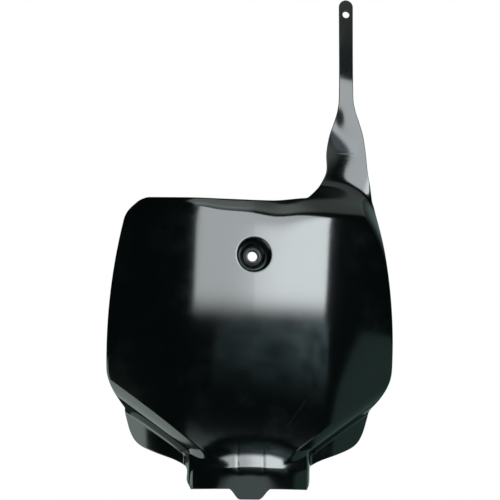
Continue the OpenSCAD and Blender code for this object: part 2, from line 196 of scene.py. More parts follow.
class StageLook(bpy.types.PropertyGroup):
    """Floor, backdrop, lights and camera."""
    floor: colour("Floor colour", "#e9e9e7", "Colour of the studio floor")
    backdrop: colour("Backdrop colour", "#ffffff", "Colour seen behind the board")
    azimuth: ratio("Azimuth", -6.5, "Degrees of the camera to the right of the face")
    elevation: ratio("Elevation", -7.0, "Degrees of the camera above the horizontal")
    distance: length("Camera distance", 3500, "Distance of the camera from the board")
    width_seen: length("Width seen", 427.5, "Width of the picture at the board")
    floor_z: length("Floor height", -1000, "Height of the floor")
    aim_z: length("Aim height", 8, "Height above the centre hole that the camera looks at")
    shift_x: length("Shift across", 1.69, "How far right of the picture's middle that place is")
    shift_z: length("Shift up", 1.98, "How far above the picture's middle that place is")
    softbox: ratio("Softbox", 16.4, "Radiance of the large softbox")


def in_mm(props):
    """All the lengths of a property group in millimetres, other numbers as they are."""
    names = type(props).__annotations__
    lengths = type(props).bl_rna.properties
    return {n: getattr(props, n) / (MM if lengths[n].unit == "LENGTH" else 1) for n in names}


# Smooth functions, each on whole arrays

def ramp(h, soft):
    """Rounded ramp: the mean of h and the length of (h, soft)."""
    return (h + np.sqrt(h * h + soft * soft)) / 2


def ramp_from(h, start, soft):
    """Rounded ramp that is zero at the given place."""
    return ramp(h, soft) - ramp(start, soft)


def blend(a, b, k):
    """The nearer of two sheets, less a parabola of size k where they are close."""
    near = np.maximum(k - np.abs(a - b), 0) / k
    return np.minimum(a, b) - near * near * k / 4


def mix(a, b, f):
    """Straight mix of a and b by the fraction f."""
    return a + (b - a) * f


def ease(f):
    """Smooth step: three f squared less two f cubed, held between 0 and 1."""
    g = np.clip(f, 0, 1)
    return g * g * (3 - 2 * g)


def curve(points, t):
    """Smooth curve through a list of points: a cubic on each span, with the slope at each
    point half the difference of its neighbours."""
    p = np.asarray(points, float)
    i = np.clip(np.floor(t).astype(int), 0, len(p) - 2)
    f = (t - i)[..., None]
    a, b = p[np.maximum(i - 1, 0)], p[i]
    c, d = p[i + 1], p[np.minimum(i + 2, len(p) - 1)]
    return 0.5 * (2 * b + (c - a) * f + (2 * a - 5 * b + 4 * c - d) * f ** 2
                  + (3 * b - a - 3 * c + d) * f ** 3)


# Depth of the front of the moulding behind the recess rim

def wall(s, r, draft):
    """Depth of a wall: a quarter round of radius r up to the draft, then a straight slope."""
    turn = math.radians(90 - draft)
    reach = r * math.sin(turn)
    arc = r - np.sqrt(np.maximum(r * r - np.clip(s, 0, reach) ** 2, 0))
    return np.where(s < reach, arc, r * (1 - math.cos(turn)) + (s - reach) * math.tan(turn))


def side_depth(s, x):
    """Crown as x squared over twice its radius, plus a rounded ramp past the side bend."""
    return (x * x / (2 * s.crown_r)
            + s.side_slope * ramp_from(np.abs(x) - s.bend_x, -s.bend_x, s.bend_soft))


def top_depth(s, x, z):
    """A ramp back from the crease, less most of it above the seam where the neck starts, and
    a slight bend back at the hinge. The crease waves by bell curves, and both lines fall by a
    parabola at the right corner."""
    wave = sum(share * np.exp(-((x - at) / wide) ** 2) for share, at, wide in CREASE_WAVES)
    corner = np.maximum(x - s.strap_x - s.corner_in, 0) ** 2 / (2 * s.corner_turn)
    crease = s.crease_z - s.crease_fall * x + s.crease_wave * wave - corner
    seam = (s.top_z + s.seam_up - s.seam_corner * corner
            - s.seam_fall * ramp(x - s.strap_x + s.seam_in, s.seam_soft_x))
    return (s.roll_slope * ramp(z - crease, s.roll_soft)
            - (s.roll_slope - s.strap_slope) * ramp(z - seam, s.seam_soft)
            + s.hinge_slope * ramp(z - s.hinge_z, s.hinge_soft))


def neck_dents(s, x, z):
    """Slow dents in the left side of the neck: bells across and up."""
    return s.neck_dent * sum(
        share * np.exp(-((x - s.strap_x - at) / wide) ** 2 - ((z - up) / tall) ** 2)
        for share, at, wide, up, tall in NECK_DENTS)


def beside(s, x, start, run):
    """One at the middle of the tab, easing to zero past a share of the tongue's half width."""
    half = s.tongue_w / 2
    return 1 - ease((np.abs(x) - half * start) / (half * run))


def tab_depth_at(s, x, z):
    """Bowed tab with two slopes that meet at a ridge. At the tongue the ridge dips, and the
    lower slope is steeper and starts higher. A thin groove on each side of it crosses the
    upper slope. Then the tab's sides."""
    middle = beside(s, x, 0.45, 0.7)
    h = z - s.ridge_z + s.ridge_dip * middle
    groove = np.exp(-((np.abs(x) - s.groove_x) / s.groove_w) ** 2) * ease(h / 5 + 0.2)
    lower = s.tab_lower + s.tongue_lower * np.exp(-(x / s.tongue_w * 1.4) ** 2)
    front = (s.tab_depth + x * x / (2 * s.tab_bow_r) + s.groove_t * groove
             + s.tab_upper * ramp(h, s.ridge_soft)
             + lower * ramp(s.ridge_turn * middle - h, s.lower_soft))
    return front + wall(np.abs(x) - s.tab_w / 2 + s.tab_edge_r / 2, s.tab_edge_r, s.wall_draft)


def depth(s, x, z):
    """Depth of the whole front: the face with its rolled lower edge, joined by fillets to the
    tab and to the wings. Up the neck the place across eases to the strap's middle, so that the
    strap is flat."""
    flat = ease((z - s.top_z) / (s.neck_z + s.flat_over - s.top_z))
    xf = mix(x, s.strap_x, flat)
    line = s.toe_z + s.edge_slope * (np.abs(x) - s.toe_x)
    past = (line - z) * math.cos(s.edge_a) + s.edge_r * math.cos(math.radians(s.wall_draft))
    lean = s.lean_slope * ramp_from(s.lean_z - z, s.lean_z, s.lean_soft)
    face = (side_depth(s, xf) + neck_dents(s, x, z) + lean + top_depth(s, xf, z)
            + wall(past, s.edge_r, s.wall_draft))
    w = np.abs(x) - s.wing_mid_x
    wing = (s.wing_depth + s.wing_slope * w + w * w / (2 * s.wing_bow_r)
            + s.wing_lean * (s.wing_mid_z - z))
    tab = tab_depth_at(s, x, z)
    joined = blend(blend(face, tab, s.foot_fillet), wing, s.foot_fillet)
    return np.where(z > s.lean_z, face, joined)


def outward(s, x, z, step=0.02):
    """Unit normal of the front, from the depth's difference across and up."""
    dx = (depth(s, x + step, z) - depth(s, x - step, z)) / (2 * step)
    dz = (depth(s, x, z + step) - depth(s, x, z - step)) / (2 * step)
    n = np.stack([dx, -np.ones_like(dx), dz], -1)
    return n / np.linalg.norm(n, axis=-1, keepdims=True)


def front(s, xz):
    """Points on the front of the sheet above places across and up."""
    x, z = xz[..., 0], xz[..., 1]
    return np.stack([x, s.rim_y + depth(s, x, z), z], -1)


# Outline, drawn in by the radius of the rounded rim

def half_width(s, z, side=1.0):
    """Half width of the plate: bowed side, turn above the wing, rounded free corner."""
    corner = s.in_corner - np.sqrt(np.maximum(s.in_corner ** 2 - (z - s.corner_z) ** 2, 0))
    free = (np.asarray(side) < 0) & (z > s.corner_z)
    return (s.half_w - s.rim_r - (z - s.widest_z) ** 2 / (2 * s.side_r)
            - np.maximum(s.turn_z - z, 0) ** 2 / (2 * s.turn_r) - np.where(free, corner, 0))


def top_at(s, x):
    """Height of the top edge: rising to the free corner and into the neck, with round ends."""
    a = np.clip(np.abs(x) - (s.mid_w - s.in_corner * math.sin(math.radians(45))), 0, s.in_corner)
    rise = np.where(x < 0, s.top_rise * x * (1 - a / s.in_corner), 0)
    return (s.top_z - s.rim_r - rise - (s.in_corner - np.sqrt(s.in_corner ** 2 - a * a))
            + s.neck_lift * ease((x - s.lift_x) / s.lift_run))


def lower_at(s, x):
    """Line of the lower edge: rounded ramp on each side of the toes."""
    return s.toe_z + s.edge_slope * ramp_from(np.abs(x) - s.toe_x, -s.toe_x, s.toe_soft)


def row_end(s, offset):
    """Height at which a row parallel to the lower edge meets the side, found by halving."""
    low = np.full_like(np.asarray(offset, float), s.toe_z - 10)
    high = np.full_like(low, s.widest_z)
    for _ in range(30):
        z = (low + high) / 2
        above = lower_at(s, half_width(s, z)) + offset > z
        low, high = np.where(above, z, low), np.where(above, high, z)
    return (low + high) / 2


def row_width(s, offset):
    """Half width of a row parallel to the lower edge: up to the side of the plate, or below
    the notch up to the wing's edge."""
    edge = curve(wing_outline(s), np.linspace(7, 5, 400))
    below = edge[:, 1] - lower_at(s, edge[:, 0])
    on_wing = np.interp(-offset, -below, edge[:, 0])
    return np.where(offset < -s.notch_drop, on_wing, half_width(s, row_end(s, offset)))


def wing_outline(s):
    """Outer edge of a wing from the tab's corner to the notch, drawn in along its normals."""
    base = np.array([s.tab_w / 2, s.tab_z])
    wide = s.tab_wall_w
    end = np.array([float(half_width(s, s.notch_z)) + s.rim_r, s.notch_z])
    walls = base + np.array([[0, 0], [wide - 1.5, 0], [wide - 1, 0]])
    walls[:, 1] = mix(base[1], end[1], np.array(TAB_WALL_UP))
    p = np.vstack([walls, mix(base, end, np.array(WING_PLACES))])
    along = np.gradient(p, axis=0)
    along[0] = [0.6, 0.8]
    along[-1] = [0, 1]
    along /= np.linalg.norm(along, axis=1, keepdims=True)
    return p + s.rim_r * np.stack([-along[:, 1], along[:, 0]], 1)


def stretches(*parts):
    """One run of numbers from (start, end, step) parts."""
    runs = [np.linspace(a, b, max(int(round(abs(b - a) / d)), 1) + 1)[1:] for a, b, d in parts]
    return np.concatenate([[parts[0][0]]] + runs)


def derive(sizes, slopes):
    """Sizes that follow from others."""
    s = SimpleNamespace(**in_mm(sizes), **in_mm(slopes))
    s.half_w = s.plate_w / 2
    s.edge_slope = math.tan(math.radians(s.edge_angle))
    s.turn_z = float(lower_at(s, s.half_w)) + s.turn_up
    s.strap_x = s.half_w - s.strap_in
    s.wing_mid_x = s.half_w * s.wing_mid
    s.rim_y = -(s.recess_depth + s.floor_t)
    s.edge_a = math.radians(s.edge_angle)
    s.in_corner = s.corner_r - s.rim_r
    s.corner_z = s.top_z + 1 - s.corner_r
    s.mid_z = s.corner_z + s.in_corner * math.cos(math.radians(45))
    s.mid_w = float(half_width(s, np.float64(s.mid_z), -1.0))
    s.level_w = float(half_width(s, row_end(s, np.float64(0))))
    s.notch_z = float(row_end(s, np.float64(-s.notch_drop)))
    s.first = s.tab_w / 2 - s.tab_edge_r / 2
    s.columns = stretches((0, 18.6, 1.0), (18.6, s.first, 1.5), (s.first, 55, 0.5),
                          (55, s.level_w, 1.6))
    return s


def plate_grid(s):
    """Places of the plate across and up: rows follow the top edge, then the face, then the
    lower edge, then run down to the outline of the tab and the wings."""
    c = np.concatenate([-s.columns[:0:-1], s.columns])[None, :]
    u = c / s.level_w
    top_v = stretches((0, 15, 0.9), (15, 28, 1.6))[:, None]
    x1 = u * half_width(s, s.mid_z - top_v, u)
    z1 = top_at(s, u * s.mid_w) - top_v
    edge_v = stretches((14, -7.5, 0.55))[:, None]
    end = row_end(s, edge_v[0, 0])
    x3 = u * row_width(s, edge_v)
    z3 = lower_at(s, x3) + edge_v
    f = np.linspace(0, 1, 58)[1:-1, None]
    x2 = u * half_width(s, mix(s.mid_z - 28, end, f), u)
    z2 = mix(z1[-1:], lower_at(s, u * half_width(s, end)) + 14, f)
    x4, z4 = foot_rows(s, c, x3[-1:], z3[-1:])
    return np.stack([np.vstack([x1, x2, x3, x4]), np.vstack([z1, z2, z3, z4])], -1)


def foot_rows(s, c, x, z):
    """Straight mixes from the last row of the lower edge to the bottom outline."""
    level = s.tab_w / 2 + s.tab_wall_w * np.arange(7) / 6
    level = np.concatenate([level, mix(level[-1], s.level_w, np.arange(1, 11) / 10)])
    places = np.array([0, 0.27, 0.55, 0.85, 1.2, 1.6, 2, 2.4, 2.8, 3.2, 3.7, 4.2, 4.6, 5, 5.4,
                       5.8, 6.2])
    side = curve(wing_outline(s), np.interp(np.abs(c), level, places))
    tongue_half = s.tongue_w / 2
    tongue = s.tongue_h * (1 - ease((np.abs(c) - tongue_half * 0.5) / (tongue_half * 0.66)))
    inner = np.abs(c) < s.tab_w / 2
    bx = np.where(inner, c, np.sign(c) * side[..., 0])
    bz = np.where(inner, s.tab_z + s.rim_r - tongue, side[..., 1])
    v = np.linspace(0, 1, 27)[1:, None]
    return mix(x, bx, v), mix(z, bz, v)


def strap_grid(s, base):
    """Places of the neck and strap: between two smooth side edges, from the plate's top row
    to an arc at the end."""
    e = s.rim_r
    left, right = s.strap_x - s.strap_w / 2 + e, s.strap_x + s.strap_w / 2 - e
    neck_l = s.strap_x - s.neck_w * s.neck_left + e
    neck_r = s.strap_x + s.neck_w * (1 - s.neck_left) - e
    end_r = s.strap_w / 2 - e
    end_z = s.strap_top - s.strap_w / 2
    x0, x1 = base[0, 0], base[-1, 0]
    up = s.neck_z + s.neck_run * np.array([0.26, 0.48, 0.69, 1])
    # Both edges as (across, up): out of the plate, up the neck, then along the strap
    lefts = [base[0], [mix(x0, neck_l, 0.2), s.top_z + 6 - e],
             [mix(x0, neck_l, 0.64), s.top_z + 15.5 - e],
             [neck_l - 0.5, s.top_z + 28], [neck_l, s.neck_z], [neck_l + 2.8, up[0]],
             [left - 4.4, up[1]], [left - 1.2, up[2]], [left, up[3]],
             [left + s.strap_drift, end_z]]
    rights = [base[-1], [x1 - 1.7, s.top_z + 3], [neck_r + 3.7, s.top_z + 15],
              [neck_r + 1.5, s.top_z + 28], [neck_r, s.neck_z], [neck_r - 2, up[0]],
              [right + 4.8, up[1]], [right + 1.2, up[2]], [right, up[3]],
              [right + s.strap_drift, end_z]]
    f = ((base[:, 0] - x0) / (x1 - x0))[None, :, None]
    t = stretches((0, 3, 0.07), (3, 8, 0.16), (8, 8.7, 0.035), (8.7, 9, 0.011))[1:, None]
    bend = (base - mix(base[0], base[-1], f[0]))[None] * (1 - ease(t / 2))[..., None]
    body = mix(curve(lefts, t), curve(rights, t), f) + bend
    tip = np.linspace(0, 1, 11)[1:, None]
    turn = np.radians(45 * tip)
    x = mix(-1, 1, f[..., 0]) * end_r * np.cos(turn)
    rise = end_r * np.sin(turn)
    z = end_z + rise + tip * (np.sqrt(np.maximum(end_r ** 2 - x * x, 0)) - rise)
    return np.vstack([body, np.stack([s.strap_x + s.strap_drift + x, z], -1)])


# Meshes

def quads(ids, skip=None):
    """Faces of a grid of point numbers, turned to face forwards."""
    q = np.stack([ids[:-1, :-1], ids[1:, :-1], ids[1:, 1:], ids[:-1, 1:]], -1)
    return q.reshape(-1, 4) if skip is None else q[~skip]


def band(loop_a, loop_b):
    """Faces between two closed loops of point numbers."""
    return np.stack([loop_a, np.roll(loop_a, -1), np.roll(loop_b, -1), loop_b], -1)


class Surface:
    """Points and faces gathered piece by piece."""

    def __init__(self):
        self.points, self.faces, self.count = [], [], 0

    def add(self, points):
        """Adds points and gives back their numbers in the same layout."""
        flat = points.reshape(-1, 3)
        ids = np.arange(len(flat)) + self.count
        self.points.append(flat)
        self.count += len(flat)
        return ids.reshape(points.shape[:-1])

    def bands(self, loops):
        """Joins each loop to the next."""
        for a, b in zip(loops[:-1], loops[1:]):
            self.faces.append(band(a, b))

    def mesh(self, name):
        """Mesh of the points in use, in metres, shaded smooth."""
        points, faces = np.vstack(self.points), np.vstack(self.faces)
        used, small = np.unique(faces, return_inverse=True)
        mesh = bpy.data.meshes.new(name)
        mesh.from_pydata((points[used] * MM).tolist(), [], small.reshape(-1, 4).tolist())
        mesh.polygons.foreach_set("use_smooth", np.ones(len(faces), bool))
        mesh.update()
        return mesh


def rounded_rim(points, normals, thick, radius, steps=4):
    """Rings round the sheet's edge: a quarter round outwards, the straight edge, and a quarter
    round back. The outward direction is square to the edge and to the sheet's normal."""
    along = np.roll(points, -1, 0) - np.roll(points, 1, 0)
    out = np.cross(normals, along)
    out /= np.linalg.norm(out, axis=1, keepdims=True)
    a = np.linspace(0, math.pi / 2, steps + 1)[1:]
    reach = np.concatenate([np.sin(a), np.sin(a[::-1])]) * radius
    down = np.concatenate([(1 - np.cos(a)) * radius, thick - (1 - np.cos(a[::-1])) * radius])
    return points + reach[:, None, None] * out - down[:, None, None] * normals


def rounded_profile(corners):
    """A turned profile with each inner corner replaced by a parabola through it. Each corner
    is (radius, height, length of the rounding)."""
    p = np.array([c[:2] for c in corners], float)
    size = np.array([c[2] for c in corners], float)[1:-1, None]
    before, after = p[:-2] - p[1:-1], p[2:] - p[1:-1]
    long_b = np.linalg.norm(before, axis=1, keepdims=True)
    long_a = np.linalg.norm(after, axis=1, keepdims=True)
    a = p[1:-1] + before * np.minimum(size / long_b, 0.48)
    b = p[1:-1] + after * np.minimum(size / long_a, 0.48)
    t = np.linspace(0, 1, 5)[None, :, None]
    arcs = (1 - t) ** 2 * a[:, None] + 2 * t * (1 - t) * p[1:-1, None] + t ** 2 * b[:, None]
    return np.vstack([p[:1], arcs.reshape(-1, 2), p[-1:]])


def fan_in(loop_xz, centre, radius, count):
    """Rings from a block's border to a circle round the centre, at the same angles and closer
    together near the circle."""
    d = loop_xz - centre
    circle = centre + radius * d / np.linalg.norm(d, axis=1, keepdims=True)
    f = 1 - np.linspace(1, 0, count + 1)[1:, None, None] ** 2
    return mix(loop_xz[None], circle[None], f)


def border(ids, r0, r1, c0, c1):
    """Border of a block of a grid, counter-clockwise as seen from the front."""
    return np.concatenate([ids[r0, c0:c1 + 1][::-1], ids[r0 + 1:r1 + 1, c0],
                           ids[r1, c0 + 1:c1 + 1], ids[r0 + 1:r1, c1][::-1]])


def block_round(grid, centre, reach):
    """Rows and columns of the block that reaches about as far round the centre each way."""
    mid_r, mid_c = np.unravel_index(np.argmin(((grid - centre) ** 2).sum(-1)), grid.shape[:2])
    rows = np.flatnonzero(np.abs(grid[:, mid_c, 1] - centre[1]) <= reach)
    cols = np.flatnonzero(np.abs(grid[mid_r, :, 0] - centre[0]) <= reach)
    return rows[0], rows[-1], cols[0], cols[-1]


def skipped(shape, block):
    """Marks the cells inside a block."""
    r0, r1, c0, c1 = block
    mark = np.zeros((shape[0] - 1, shape[1] - 1), bool)
    mark[r0:r1, c0:c1] = True
    return mark


def board_mesh(s):
    """The whole moulding: the sheet's front and back grids, rings round both holes and the
    turned recess, and the rounded rim."""
    plate = plate_grid(s)
    across = plate.shape[1]
    middle = len(s.columns) - 1
    first = middle + int(np.argmin(np.abs(s.columns - s.first)))
    strap = strap_grid(s, plate[0, first:])
    end_z = s.strap_top - s.strap_w / 2
    hole_z = s.strap_top - s.strap_hole_in
    hole = np.array([s.strap_x + s.strap_drift * (hole_z - s.neck_z) / (end_z - s.neck_z), hole_z])
    centre = np.zeros(2)
    plate_block = block_round(plate, centre, 24)
    strap_block = block_round(strap, hole, s.strap_w / 2 - s.rim_r - 0.9)

    # Places of every point of the sheet, in one list
    boss_r = s.recess_d / 2 + s.sheet_t + 3.2
    ids = np.arange(plate[..., 0].size).reshape(plate.shape[:2])
    sids = np.arange(strap[..., 0].size).reshape(strap.shape[:2]) + ids.size
    flat = np.vstack([plate.reshape(-1, 2), strap.reshape(-1, 2)])
    ring_a = border(ids, *plate_block)
    ring_b = border(sids, *strap_block)[::-1]
    boss = fan_in(flat[ring_a], centre, boss_r, 6)
    eye = fan_in(flat[ring_b], hole, s.strap_hole_d / 2 + s.eye_r, 6)
    boss_ids = np.arange(boss[..., 0].size).reshape(boss.shape[:2]) + len(flat)
    eye_ids = np.arange(eye[..., 0].size).reshape(eye.shape[:2]) + len(flat) + boss_ids.size
    flat = np.vstack([flat, boss.reshape(-1, 2), eye.reshape(-1, 2)])

    whole = np.vstack([ids[:1, first:], sids])
    strap_skip = np.zeros((whole.shape[0] - 1, whole.shape[1] - 1), bool)
    strap_skip[1:] = skipped(sids.shape, strap_block)
    # The strap's rows go up, so its grid is turned over
    sheet = [quads(ids, skipped(ids.shape, plate_block)),
             quads(whole, strap_skip)[:, ::-1]]
    for start, rings in ((ring_a, boss_ids), (ring_b, eye_ids)):
        loops = [start] + list(rings)
        sheet += [band(a, b) for a, b in zip(loops[:-1], loops[1:])]
    sheet = np.vstack(sheet)

    out = Surface()
    normals = outward(s, flat[:, 0], flat[:, 1])
    face = front(s, flat)
    f_ids = out.add(face)
    b_ids = out.add(face - s.sheet_t * normals)
    out.faces += [f_ids[sheet], b_ids[sheet][:, ::-1]]

    outline = np.concatenate([ids[0, :first + 1], sids[:, 0], sids[-1, 1:], sids[:-1, -1][::-1],
                              ids[0, -1:], ids[1:, -1], ids[-1, :-1][::-1], ids[1:-1, 0][::-1]])
    rings = out.add(rounded_rim(face[outline], normals[outline], s.sheet_t, s.rim_r))
    out.bands([f_ids[outline]] + list(rings) + [b_ids[outline]])
    last = eye_ids[-1]
    rings = out.add(rounded_rim(face[last], normals[last], s.sheet_t, s.eye_r, 3))
    out.bands([f_ids[last]] + list(rings) + [b_ids[last]])

    turned = turned_recess(s, boss[-1], boss_r)
    rings = out.add(turned)
    out.bands([f_ids[boss_ids[-1]]] + list(rings) + [b_ids[boss_ids[-1]]])
    return out.mesh("number_board_moulding")


def turned_recess(s, circle, boss_r):
    """Rings from the face over the lip, down the cone to the ledge and the floor, through the
    bore, and out over the cup behind. The height fades from the bowed face to the turned
    profile between the lip and the ledge."""
    r, up = s.recess_d / 2, -s.rim_y
    ledge, ledge_up = s.ledge_d / 2, -s.rim_y - s.ledge_depth
    ring, bore, t = s.hole_d / 2 + 2, s.hole_d / 2, s.sheet_t
    inner = rounded_profile([
        (r + 2.2, up, 0), (r - 0.35, up, 1.5), (r - 1.9, up - 2.8, 0.8),
        (ledge + 1.6, ledge_up + 0.5, 0.6), (ledge + 0.1, ledge_up - 0.9, 0.6),
        (ledge - 0.5, s.floor_t + 1.3, 0.6), (ledge - 1.2, s.floor_t, 0.5),
        (ring + 0.8, s.floor_t, 0.4), (ring, s.floor_t + 1.2, 0.5),
        (ring - 0.8, s.floor_t + 1.2, 0.4), (bore + 0.5, s.floor_t + 0.5, 0.5),
        (bore, s.floor_t - 0.4, 0.3), (bore, s.floor_t / 2, 0.1)])
    outer = rounded_profile([
        (bore, s.floor_t / 2, 0), (bore, 0, 0.4), (ledge + t, 0, 0.7),
        (ledge + t + 0.3, ledge_up - t, 0.8), (r + t + 0.4, up - t - 2, 0.8),
        (r + t + 2.4, up - t, 1.0), (boss_r - 0.2, up - t, 0)])
    around = circle / np.linalg.norm(circle, axis=1, keepdims=True)
    slopes = []
    for profile, full, none in ((inner, r + 1, ledge + 2), (outer[1:], r + t + 2.2, ledge + t)):
        place = profile[:, 0, None, None] * around
        bow = depth(s, place[..., 0], place[..., 1])
        fade = ease((profile[:, 0] - none) / (full - none))[:, None]
        y = -profile[:, 1, None] + bow * fade
        slopes.append(np.stack([place[..., 0], y, place[..., 1]], -1))
    return np.vstack(slopes)


# Materials

def linear(code):
    """Linear colour from sRGB hex."""
    c = np.array([int(code[i:i + 2], 16) for i in (1, 3, 5)]) / 255
    return tuple(np.where(c <= 0.04045, c / 12.92, ((c + 0.055) / 1.055) ** 2.4)) + (1.0,)


def node(tree, kind, inputs=(), **settings):
    """Makes a node, sets it, and links or fills its inputs."""
    made = tree.nodes.new(kind)
    for key, value in settings.items():
        setattr(made, key, value)
    for key, value in dict(inputs).items():
        if isinstance(value, bpy.types.NodeSocket):
            tree.links.new(value, made.inputs[key])
        else:
            made.inputs[key].default_value = value
    return made


def fine_lines(tree, where):
    """Height of thin lines on the surface. Each is a ramp up to a straight line from both
    sides and from both ends."""
    place = node(tree, "ShaderNodeSeparateXYZ", {0: where})
    total = 0.0
    for (x0, z0), (x1, z1), half, high in FINE_LINES:
        run = math.hypot(x1 - x0, z1 - z0)
        ux, uz = (x1 - x0) / run, (z1 - z0) / run
        spans = []
        for kx, kz, reach in ((ux, uz, run / 2), (-uz, ux, half)):
            middle = (kx * (x0 + x1) + kz * (z0 + z1)) / 2
            x = node(tree, "ShaderNodeMath", {0: place.outputs["X"], 1: kx / MM, 2: -middle},
                     operation="MULTIPLY_ADD")
            off = node(tree, "ShaderNodeMath", {0: place.outputs["Z"], 1: kz / MM,
                                                2: x.outputs[0]}, operation="MULTIPLY_ADD")
            far = node(tree, "ShaderNodeMath", {0: off.outputs[0]}, operation="ABSOLUTE")
            spans.append(node(tree, "ShaderNodeMapRange", {
                "Value": far.outputs[0], "From Min": reach, "From Max": reach - half,
                "To Max": 1.0}).outputs["Result"])
        line = node(tree, "ShaderNodeMath", {0: spans[0], 1: spans[1]}, operation="MULTIPLY")
        total = node(tree, "ShaderNodeMath", {0: line.outputs[0], 1: high, 2: total},
                     operation="MULTIPLY_ADD").outputs[0]
    return total


def gloss_plastic(look):
    """Gloss black injection-moulded polypropylene, which mirrors its room sharply. It has a
    fine moulded grain of about a third of a millimetre, slow waves of the sheet's surface about
    45 mm long, soft scuffs of about 30 mm where hands and boots rub, and faint lines."""
    mat = bpy.data.materials.new("Black_gloss_moulded_polypropylene")
    mat.use_nodes = True
    tree = mat.node_tree
    tree.nodes.clear()
    where = node(tree, "ShaderNodeTexCoord").outputs["Object"]
    grain = node(tree, "ShaderNodeTexNoise", {"Vector": where, "Scale": 1 / look.grain,
                                              "Detail": 2.0, "Roughness": 0.6})
    waves = node(tree, "ShaderNodeTexNoise", {"Vector": where, "Scale": 22.0, "Detail": 1.0})
    scuffs = node(tree, "ShaderNodeTexNoise", {"Vector": where, "Scale": 34.0, "Detail": 6.0,
                                               "Roughness": 0.65})
    patch = node(tree, "ShaderNodeMapRange", {"Value": scuffs.outputs["Fac"], "From Min": 0.5,
                                              "From Max": 0.75})
    rough = node(tree, "ShaderNodeMapRange", {"Value": patch.outputs["Result"],
                                              "To Min": look.roughness,
                                              "To Max": look.roughness + look.scuff})
    shade = node(tree, "ShaderNodeMix", {0: patch.outputs["Result"], 6: linear(look.base),
                                         7: linear(look.worn)}, data_type="RGBA")
    slow = node(tree, "ShaderNodeBump", {"Strength": 0.16, "Distance": 0.0006,
                                         "Height": waves.outputs["Fac"]})
    lines = node(tree, "ShaderNodeBump", {"Strength": 0.5, "Distance": 0.0001,
                                          "Height": fine_lines(tree, where),
                                          "Normal": slow.outputs["Normal"]})
    fine = node(tree, "ShaderNodeBump", {"Strength": 0.10, "Distance": 0.00002,
                                         "Height": grain.outputs["Fac"],
                                         "Normal": lines.outputs["Normal"]})
    shader = node(tree, "ShaderNodeBsdfPrincipled", {
        "Base Color": shade.outputs[2], "Roughness": rough.outputs["Result"], "IOR": 1.5,
        "Normal": fine.outputs["Normal"]})
    node(tree, "ShaderNodeOutputMaterial", {"Surface": shader.outputs["BSDF"]})
    return mat


def painted(name, code, rough):
    """Matt painted studio floor, with a faint unevenness of its sheen."""
    mat = bpy.data.materials.new(name)
    mat.use_nodes = True
    tree = mat.node_tree
    shader = tree.nodes["Principled BSDF"]
    shader.inputs["Base Color"].default_value = linear(code)
    where = node(tree, "ShaderNodeTexCoord").outputs["Object"]
    noise = node(tree, "ShaderNodeTexNoise", {"Vector": where, "Scale": 3.0})
    sheen = node(tree, "ShaderNodeMapRange", {"Value": noise.outputs["Fac"],
                                              "To Min": rough - 0.05, "To Max": rough + 0.05})
    tree.links.new(sheen.outputs["Result"], shader.inputs["Roughness"])
    return mat


# Operators

def keep(name, data):
    """Puts an object into the scene at the origin."""
    made = bpy.data.objects.new(name, data)
    bpy.context.scene.collection.objects.link(made)
    return made


class BOARD_OT_moulding(bpy.types.Operator):
    """Make the moulded board with its strap, recess and rolled edges"""
    bl_idname = "number_board.moulding"
    bl_label = "Moulding"

    def execute(self, context):
        scene = context.scene
        sizes = derive(scene.board_sizes, scene.board_slopes)
        piece = keep("moulding", board_mesh(sizes))
        piece.data.materials.append(gloss_plastic(scene.board_finish))
        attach(piece, "root")
        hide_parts("number_board")
        return {"FINISHED"}


def area_light(name, around, direction, distance, size, radiance, tint="#ffffff", roll=0.0):
    """A soft rectangular light that faces a point on the board. Its direction from there is
    (degrees to the right of the face's front, degrees up), lengths are in millimetres, and its
    power is its radiance times pi times its area."""
    data = bpy.data.lights.new(name, "AREA")
    data.shape = "RECTANGLE"
    data.size, data.size_y = size[0] * MM, size[1] * MM
    data.energy = radiance * math.pi * data.size * data.size_y
    data.color = linear(tint)[:3]
    made = keep(name, data)
    a, e, r = (math.radians(v) for v in (*direction, roll))
    back = np.array([math.sin(a) * math.cos(e), -math.cos(a) * math.cos(e), math.sin(e)])
    right = np.array([math.cos(a), math.sin(a), 0])
    up = np.cross(back, right)
    turn = np.eye(4)
    turn[:3, :4] = np.stack([right * math.cos(r) + up * math.sin(r),
                             up * math.cos(r) - right * math.sin(r), back,
                             (np.array(around) + back * distance) * MM], 1)
    made.matrix_world = Matrix(turn.tolist())
    made.visible_camera = False
    return made


